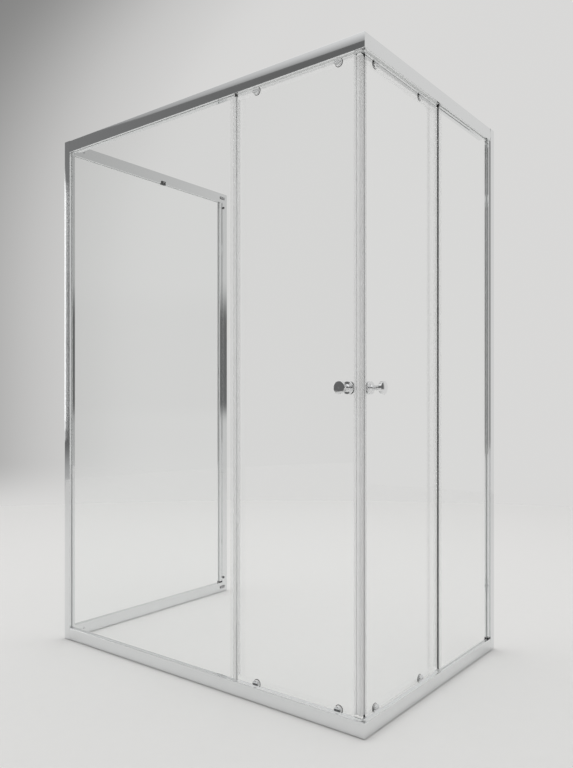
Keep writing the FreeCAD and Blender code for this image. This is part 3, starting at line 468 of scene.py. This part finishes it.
finishes = {
    "cast_aluminium": castMetal,
    "clear_seal": makePlastic("clearSeal"),
    "magnet": makePlastic("magnetStrip"),
    "black_plastic": makePlastic("blackPlastic"),
    "grey_gasket": makePlastic("greyGasket"),
    "setting_block": makePlastic("settingBlock"),
    "stop_rubber": makePlastic("stopRubber"),
    "steel": steelMetal,
    "chrome_fitting": fittingMetal,
    "nylon": makePlastic("turnedNylon"),
}
alongX, alongY = (1, 0, 0), (0, 1, 0)
polished, hidden = glassLook["polishedEdge"], glassLook["hiddenCover"]
milkySeal = makePlastic("milkySeal")
ownFinish = {
    "edge_seal_plugs": makePlugs(),
    "front_edge_seal": makePlastic("edgeSeal"),
    "return_joint_plates": makePlastic("jointPlate"),
    "front_door_magnet_seal": milkySeal,
    "side_door_magnet_seal": milkySeal,
    "front_fixed_glass": makeGlass(
        "frontFixedGlass", alongX, glassLook["frontEdgeAndShade"], glassLook["frontCover"]),
    "side_fixed_glass": makeGlass(
        "sideFixedGlass", alongY, glassLook["sideEdgeAndShade"], glassLook["sideCover"]),
    "return_glass": makeGlass("returnGlass", alongY, polished, hidden),
    "front_door_glass": makeGlass("frontDoorGlass", alongX, polished, hidden),
    "side_door_glass": makeGlass("sideDoorGlass", alongY, polished, hidden),
}


# Every frame piece takes the finish of its slot, and a rail the lines that run along it
def finishFor(name):
    if name in ownFinish:
        return ownFinish[name]
    low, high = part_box(name)
    size = high - low
    longest = max(range(3), key=lambda axis: size[axis])
    return finishes.get(slotOf[name], railMetal[longest])


def dressNodes():
    for name, piece in nodes.items():
        piece.data.materials.clear()
        piece.data.materials.append(finishFor(name))


dressNodes()
print("finishes given to", len(nodes), "pieces")


# Mesh helpers for the small pieces
sharpAngle = 35                  # degrees, from which an edge stays sharp
weldSteps = 1e5                  # steps in a metre, corners in one step are joined


def standingOn(centre, axis):
    turn = Vector((0, 0, 1)).rotation_difference(Vector(axis)).to_matrix().to_4x4()
    return Matrix.Translation(centre) @ turn


def addRing(mesh, profile, steps, place):
    loops = []
    for step in range(steps):
        angle = 2 * math.pi * step / steps
        loops.append([
            mesh.verts.new(place @ Vector((reach * math.cos(angle), reach * math.sin(angle), up)))
            for reach, up in profile
        ])
    for step in range(steps):
        first, second = loops[step], loops[(step + 1) % steps]
        for index in range(len(profile)):
            after = (index + 1) % len(profile)
            mesh.faces.new((first[index], second[index], second[after], first[after]))


def circle(radius, steps):
    turns = [2 * math.pi * step / steps for step in range(steps)]
    return [(radius * math.cos(angle), radius * math.sin(angle)) for angle in turns]


def crossOutline(reach, width):
    half = width / 2
    quarter = [(reach, -half), (reach, half), (half, half)]
    outline = []
    for turn in range(4):
        cosine, sine = round(math.cos(turn * math.pi / 2)), round(math.sin(turn * math.pi / 2))
        outline += [(x * cosine - y * sine, x * sine + y * cosine) for x, y in quarter]
    return outline


def addWall(mesh, lower, upper):
    count = len(lower)
    for index in range(count):
        after = (index + 1) % count
        mesh.faces.new((lower[index], lower[after], upper[after], upper[index]))


def loopEdges(mesh, loop):
    return [mesh.edges.get((a, b)) or mesh.edges.new((a, b)) for a, b in zip(loop, loop[1:] + loop[:1])]


def addRecessedHead(mesh, look, recess, place):
    def level(points, up):
        return [mesh.verts.new(place @ Vector((x, y, up))) for x, y in points]

    rim = look["radius"] - look["chamfer"]
    foot = level(circle(look["radius"], look["steps"]), 0)
    side = level(circle(look["radius"], look["steps"]), look["height"] - look["chamfer"])
    top = level(circle(rim, look["steps"]), look["height"])
    mouth = level(recess, look["height"])
    floor = level(recess, look["height"] - look["depth"])
    mesh.faces.new(foot[::-1])
    addWall(mesh, foot, side)
    addWall(mesh, side, top)
    addWall(mesh, mouth, floor)
    mesh.faces.new(floor)
    edges = loopEdges(mesh, top) + loopEdges(mesh, mouth)
    bmesh.ops.triangle_fill(mesh, use_beauty=True, edges=edges, normal=place.to_3x3() @ Vector((0, 0, 1)))


def addPiece(mesh, name, body, finish):
    bmesh.ops.recalc_face_normals(mesh, faces=mesh.faces)
    data = bpy.data.meshes.new(name)
    mesh.to_mesh(data)
    mesh.free()
    data.materials.append(finish)
    data.shade_smooth()
    data.set_sharp_from_angle(angle=math.radians(sharpAngle))
    piece = bpy.data.objects.new(name, data)
    scene.collection.objects.link(piece)
    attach(piece, body)


# Boxes of the separate solids that share one frame piece
def solidBoxes(name):
    data = nodes[name].data
    home = {}

    def root(key):
        while home[key] != key:
            home[key] = home[home[key]]
            key = home[key]
        return key

    keys = [tuple(round(value * weldSteps) for value in vertex.co) for vertex in data.vertices]
    for key in keys:
        home.setdefault(key, key)
    for face in data.polygons:
        corners = [root(keys[index]) for index in face.vertices]
        for corner in corners[1:]:
            home[root(corner)] = root(corners[0])
    found = {}
    for key, vertex in zip(keys, data.vertices):
        low, high = found.setdefault(root(key), (vertex.co.copy(), vertex.co.copy()))
        for axis in range(3):
            low[axis] = min(low[axis], vertex.co[axis])
            high[axis] = max(high[axis], vertex.co[axis])
    return sorted(found.values(), key=lambda box: tuple(box[0]))


# Painted reflection: black rings between the roller caps and the door glass stand in for the dark
# reflection round the chrome rims of the caps
capRimReflectionLook = {"overlap": 0.0004, "reach": 0.0015, "thickness": 0.0012, "bevel": 0.3, "steps": 64}


def makeCapRimReflection():
    thickness = capRimReflectionLook["thickness"]
    bevel = thickness * capRimReflectionLook["bevel"]
    for door, outward in (("front_door", Vector((0, -1, 0))), ("side_door", Vector((1, 0, 0)))):
        mesh = bmesh.new()
        for low, high in solidBoxes(door + "_roller_caps"):
            middle = (low + high) / 2
            radius = (high.z - low.z) / 2
            depth = abs(outward.dot(high - low)) / 2
            inner, outer = radius - capRimReflectionLook["overlap"], radius + capRimReflectionLook["reach"]
            profile = [
                (inner, 0), (outer, 0), (outer, thickness - bevel),
                (outer - bevel, thickness), (inner, thickness),
            ]
            addRing(mesh, profile, capRimReflectionLook["steps"], standingOn(middle - outward * depth, outward))
        addPiece(mesh, door + "CapRimReflection", door, finishes["black_plastic"])


makeCapRimReflection()


# Cross-recess screws in the joint plates, the return rails, the clip and the corner brackets
plateScrewLook = {
    "radius": 0.0034, "height": 0.0013, "chamfer": 0.0005, "depth": 0.0009, "steps": 32,
    "crossReach": 0.0021, "crossWidth": 0.0008,
    "spread": 0.008,             # either side of the middle of a plate
    "clipDrop": 0.0055,          # below the top of the clip
    "railPlaces": (0.026, 0.042),  # along a return rail, from its end at the post
}
cornerScrewLook = {
    "radius": 0.0038, "height": 0.0007, "chamfer": 0.0004, "depth": 0.0006, "steps": 32,
    "crossReach": 0.0024, "crossWidth": 0.0009,
}


def makeScrews():
    mesh = bmesh.new()
    inward = Vector((1, 0, 0))
    cross = crossOutline(plateScrewLook["crossReach"], plateScrewLook["crossWidth"])
    for low, high in solidBoxes("return_joint_plates"):
        for side in (-1, 1):
            across = (low.y + high.y) / 2 + side * plateScrewLook["spread"]
            place = Vector((high.x, across, (low.z + high.z) / 2))
            addRecessedHead(mesh, plateScrewLook, cross, standingOn(place, inward))
    for rail in ("return_top_rail", "return_bottom_rail"):
        low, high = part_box(rail)
        for along in plateScrewLook["railPlaces"]:
            place = Vector((high.x, low.y + along, (low.z + high.z) / 2))
            addRecessedHead(mesh, plateScrewLook, cross, standingOn(place, inward))
    low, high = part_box("return_rail_clip")
    place = Vector((high.x, (low.y + high.y) / 2, high.z - plateScrewLook["clipDrop"]))
    addRecessedHead(mesh, plateScrewLook, cross, standingOn(place, inward))
    cross = crossOutline(cornerScrewLook["crossReach"], cornerScrewLook["crossWidth"])
    for low, high in solidBoxes("frame_screws"):
        middle = (low + high) / 2
        if middle.x < 0:         # the post screws sit inside the post
            continue
        if high.y - low.y > high.x - low.x:
            place, axis = Vector((middle.x, high.y, middle.z)), (0, 1, 0)
        else:
            place, axis = Vector((low.x, middle.y, middle.z)), (-1, 0, 0)
        addRecessedHead(mesh, cornerScrewLook, cross, standingOn(place, axis))
    addPiece(mesh, "crossScrews", "frame", finishes["steel"])


makeScrews()


# Black blocks round the feet of the wall stiles, darkening the foot of each stile
footBlockLook = {"wall": 0.001, "height": 0.007, "slope": 0.002, "gap": 0.0004}


def makeStileFootBlocks():
    mesh = bmesh.new()
    wall, gap = footBlockLook["wall"], footBlockLook["gap"]
    for side, pane in (("side", "side_fixed_glass"), ("return", "return_glass")):
        low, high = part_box(side + "_wall_stile")
        glassLow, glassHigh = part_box(pane)
        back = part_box(side + "_wall_channel")[0].y - gap
        for inner, outer in ((glassHigh.x + gap, high.x), (glassLow.x - gap, low.x)):
            edge = outer + math.copysign(wall, outer - inner)
            front = low.y - wall
            outline = [
                (inner, low.y), (inner, front), (edge, front), (edge, back), (outer, back), (outer, low.y),
            ]
            top = low.z + footBlockLook["height"]
            outside = top - footBlockLook["slope"]
            heights = [top, outside, outside, outside, top, top]
            foot = [mesh.verts.new((x, y, low.z)) for x, y in outline]
            rim = [mesh.verts.new((x, y, up)) for (x, y), up in zip(outline, heights)]
            addWall(mesh, foot, rim)
            mesh.faces.new(foot[::-1])
            for corners in ((0, 1, 2, 5), (2, 3, 4, 5)):
                mesh.faces.new([rim[index] for index in corners])
    addPiece(mesh, "stileFootBlocks", "frame", finishes["black_plastic"])


makeStileFootBlocks()


# Hexagon sockets on the inner ends of the knob bolts
boltLook = {
    "share": 0.96,               # of the bolt's own radius
    "height": 0.0008, "chamfer": 0.0003, "depth": 0.0007, "steps": 36,
    "hexShare": 0.55, "hexSides": 6,
}


def makeBoltSockets():
    for door, inward in (("front_door", Vector((0, 1, 0))), ("side_door", Vector((-1, 0, 0)))):
        low, high = solidBoxes(door + "_knob_bolt")[0]
        radius = (high.z - low.z) / 2 * boltLook["share"]
        depth = abs(inward.dot(high - low)) / 2
        mesh = bmesh.new()
        look = dict(boltLook, radius=radius)
        socket = circle(radius * boltLook["hexShare"], boltLook["hexSides"])
        addRecessedHead(mesh, look, socket, standingOn((low + high) / 2 + inward * depth, inward))
        addPiece(mesh, door + "BoltSocket", door, finishes["steel"])


makeBoltSockets()


# Bearing shields on both faces of each wheel
shieldLook = {"inner": 0.0023, "outer": 0.0044, "thickness": 0.00025, "steps": 40}


def makeBearingShields():
    for name in nodes:
        if not name.endswith("_wheel"):
            continue
        low, high = solidBoxes(name)[0]
        axis = Vector((0, 1, 0)) if name.startswith("front") else Vector((1, 0, 0))
        depth = abs(axis.dot(high - low)) / 2
        inner, outer, thickness = shieldLook["inner"], shieldLook["outer"], shieldLook["thickness"]
        profile = [(inner, 0), (outer, 0), (outer - thickness, thickness), (inner, thickness)]
        mesh = bmesh.new()
        for way in (-1, 1):
            place = standingOn((low + high) / 2 + axis * depth * way, axis * way)
            addRing(mesh, profile, shieldLook["steps"], place)
        addPiece(mesh, name + "Shields", name, finishes["steel"])


makeBearingShields()
print("small pieces added")


# Round pale floor
floorLook = {
    "radius": 8.0,               # metres
    "centre": (2.5, -3.22),      # set so that it ends 3.9 m behind the enclosure
    "rings": 10,
    "steps": 96,
    "light": (0.8, 0.795, 0.785, 1),
    "dark": (0.785, 0.78, 0.77, 1),
    "smooth": (0.7, 0.8),
    "grain": 300.0,
    "bend": 1.3,
    "drop": 0.002,               # leaves a thin shadow under the rails
}


def makeFloor():
    mesh = bmesh.new()
    middle = Vector((*floorLook["centre"], -floorLook["drop"]))
    rings = []
    for ring in range(1, floorLook["rings"] + 1):
        reach = floorLook["radius"] * ring / floorLook["rings"]
        outline = circle(reach, floorLook["steps"])
        rings.append([mesh.verts.new(middle + Vector((x, y, 0))) for x, y in outline])
    mesh.faces.new(rings[0])
    for inner, outer in zip(rings, rings[1:]):
        for step in range(floorLook["steps"]):
            after = (step + 1) % floorLook["steps"]
            mesh.faces.new((inner[step], outer[step], outer[after], inner[after]))
    data = bpy.data.meshes.new("paleFloor")
    mesh.to_mesh(data)
    mesh.free()
    floor = bpy.data.objects.new("paleFloor", data)
    scene.collection.objects.link(floor)
    material, tree, shader = newMaterial("palePaper", IOR=floorLook["bend"])
    addGrain(tree, shader, floorLook, floorLook["grain"])
    data.materials.append(material)


makeFloor()


# Backdrop, and a soft room in front of it: a dim band round the horizon under a bright ceiling
roomLook = {
    "backdrop": [                # places from left to right, with their levels
        (-1.0, 0.62), (-0.72, 0.5), (-0.5, 0.24), (-0.36, 0.485),
        (-0.24, 0.655), (-0.1, 0.69), (0.1, 0.692),
    ],
    "backdropTint": (1.0, 0.995, 0.985),
    "aside": (0.789, 0.614, 0.0),  # painted shade: the backdrop darkens to the left and upwards
    "upperShade": 1.6,
    "upperPower": 3.0,
    "footColor": (0.69, 0.686, 0.678, 1),
    "foot": (-0.145, -0.075),    # where the floor runs up into the backdrop
    "horizonFront": (0.13, 0.13, 0.13, 1),
    "horizonLeft": (0.2, 0.2, 0.2, 1),
    "horizonLow": (0.42, 0.42, 0.42, 1),
    "horizonSoft": (0.6, 0.6, 0.595, 1),  # what dull surfaces are lit by instead
    "horizonTurn": (0.5, 0.85),  # how far to the left the horizon turns a little lighter
    "horizonLift": (0.1, 0.2),   # and how far up
    "horizonDrop": (-0.05, -0.1),  # or down
    "ceilingLow": (0.36, 0.36, 0.36, 1),
    "ceilingHigh": (0.76, 0.76, 0.76, 1),
    "zenithColor": (1.06, 1.06, 1.06, 1),
    "lean": (-0.054, 0.058, 1.0),  # the ceiling reaches lower to the left and at the back
    "ceilingEdge": (0.404, 0.414),
    "ceilingClimb": (0.414, 0.531),
    "backdropTop": (0.6, 0.75),
    "roomFront": (-0.15, 0.15),
    "sideShade": (0.41, 0.41, 0.405, 1),  # the backdrop seen far to the side
    "sideAxis": (-0.174, 0.985, 0.0),
    "sideReach": (0.38, 0.68),
    "mirrorAxis": (0.3, -0.954, 0.0),  # this way metal behind glass mirrors the dark horizon too
    "mirrorReach": (0.66, 0.72),
    "openingSide": (0.77, 0.64, 0.0),  # a low dark opening that the return side mirrors
    "openingReach": (0.94, 0.975),
    "openingTop": (0.17, 0.11),
    "openingFoot": (-0.03, 0.0),
}


# Painted shade: the backdrop that the camera sees is painted darker towards the left and the top, with a
# darkest band on the left, where the wall lies in shade
def backdropColor(tree, direction, height):
    power = addNode(tree, "ShaderNodeMath", {1: roomLook["upperPower"]}, operation="POWER")
    lift = addNode(tree, "ShaderNodeMath", {1: 0.0}, operation="MAXIMUM")
    shade = addNode(tree, "ShaderNodeMath", {1: -roomLook["upperShade"]}, operation="MULTIPLY_ADD")
    join(tree, height, lift.inputs[0])
    join(tree, lift.outputs[0], power.inputs[0])
    join(tree, power.outputs[0], shade.inputs[0])
    join(tree, dotWith(tree, direction, roomLook["aside"]), shade.inputs[2])
    stops = roomLook["backdrop"]
    tones = addNode(tree, "ShaderNodeValToRGB")
    tones.color_ramp.interpolation = "CARDINAL"
    low, high = stops[0][0], stops[-1][0]
    for place, _ in stops[1:-1]:
        tones.color_ramp.elements.new((place - low) / (high - low))
    for element, (place, level) in zip(tones.color_ramp.elements, stops):
        element.position = (place - low) / (high - low)
        element.color = tuple(level * tint for tint in roomLook["backdropTint"]) + (1,)
    join(tree, ramp(tree, shade.outputs[0], (low, high), "LINEAR"), tones.inputs["Fac"])
    foot = ramp(tree, height, roomLook["foot"])
    return mixColor(tree, foot, roomLook["footColor"], tones.outputs["Color"])


def makeRoomLight():
    world = bpy.data.worlds.new("softRoom")
    scene.world = world
    world.use_nodes = True
    tree = world.node_tree
    direction = addNode(tree, "ShaderNodeTexCoord").outputs["Generated"]
    height = dotWith(tree, direction, (0, 0, 1))
    behind = dotWith(tree, direction, (0, 1, 0))
    level = dotWith(tree, direction, roomLook["lean"])
    backdrop = backdropColor(tree, direction, height)
    climb = ramp(tree, level, roomLook["ceilingClimb"], "LINEAR")
    ceiling = mixColor(tree, climb, roomLook["ceilingLow"], roomLook["ceilingHigh"])
    upward = ramp(tree, level, (roomLook["ceilingClimb"][1], 1.0))
    dome = mixColor(tree, upward, ceiling, roomLook["zenithColor"])
    sideways = ramp(tree, dotWith(tree, direction, (-1, 0, 0)), roomLook["horizonTurn"])
    above = times(tree, sideways, ramp(tree, height, roomLook["horizonLift"]))
    below = times(tree, sideways, ramp(tree, height, roomLook["horizonDrop"]))
    path = addNode(tree, "ShaderNodeLightPath")
    dark = mixColor(tree, above, roomLook["horizonFront"], roomLook["horizonLeft"])
    dark = mixColor(tree, below, dark, roomLook["horizonLow"])
    shone = path.outputs["Glossy Depth"]  # above zero once light has shone off metal or glass
    horizon = mixColor(tree, shone, roomLook["horizonSoft"], dark)
    front = mixColor(tree, ramp(tree, level, roomLook["ceilingEdge"]), horizon, dome)
    aside = ramp(tree, dotWith(tree, direction, roomLook["sideAxis"]), roomLook["sideReach"], "LINEAR")
    wall = mixColor(tree, aside, roomLook["sideShade"], backdrop)
    back = mixColor(tree, ramp(tree, height, roomLook["backdropTop"]), wall, dome)
    around = ramp(tree, dotWith(tree, direction, roomLook["openingSide"]), roomLook["openingReach"])
    under = ramp(tree, height, roomLook["openingTop"])
    low = times(tree, under, ramp(tree, height, roomLook["openingFoot"]))
    back = mixColor(tree, times(tree, around, low), back, roomLook["horizonFront"])
    room = mixColor(tree, ramp(tree, behind, roomLook["roomFront"]), front, back)
    either = larger(tree, path.outputs["Is Camera Ray"], path.outputs["Is Transmission Ray"])
    facing = ramp(tree, dotWith(tree, direction, roomLook["mirrorAxis"]), roomLook["mirrorReach"])
    mirrored = times(tree, shone, facing)
    seen = mixColor(tree, either, room, mixColor(tree, mirrored, backdrop, room))
    join(tree, seen, tree.nodes["Background"].inputs["Color"])


makeRoomLight()


# Lamps: a key from above that only lights dull surfaces, and a tall panel far to the left for bright metal
lampLook = {
    "key": {"at": (-0.6, 0.8, 5.0), "aim": (-0.6, 0.1, 0), "size": (2.6, 2.6), "watts": 45},
    "panel": {
        "at": (-4.27, -1.06), "aim": (-0.69, -0.44), "width": 3.4,
        "watts": 19.23,          # for each metre of its height
        "strips": [              # middle, height and share of the light, which fades at head and foot
            (1.795, 2.11, 1.0), (2.89, 0.08, 0.45), (0.695, 0.09, 0.65), (0.605, 0.09, 0.32),
        ],
    },
}


def addLamp(name, at, aim, size, watts):
    data = bpy.data.lights.new(name, "AREA")
    data.shape = "RECTANGLE"
    data.size, data.size_y = size
    data.energy = watts
    lamp = bpy.data.objects.new(name, data)
    lamp.location = at
    lamp.rotation_euler = (Vector(aim) - Vector(at)).to_track_quat("-Z", "Y").to_euler()
    lamp.visible_camera = False
    lamp.visible_transmission = False
    scene.collection.objects.link(lamp)
    return lamp


def makeLamps():
    key, panel = lampLook["key"], lampLook["panel"]
    lamp = addLamp("key", key["at"], key["aim"], key["size"], key["watts"])
    lamp.visible_glossy = False
    for middle, height, share in panel["strips"]:
        watts = panel["watts"] * height * share
        place, aim = (*panel["at"], middle), (*panel["aim"], middle)
        lamp = addLamp("panel", place, aim, (panel["width"], height), watts)
        lamp.visible_diffuse = False


makeLamps()
print("stage and light ready")
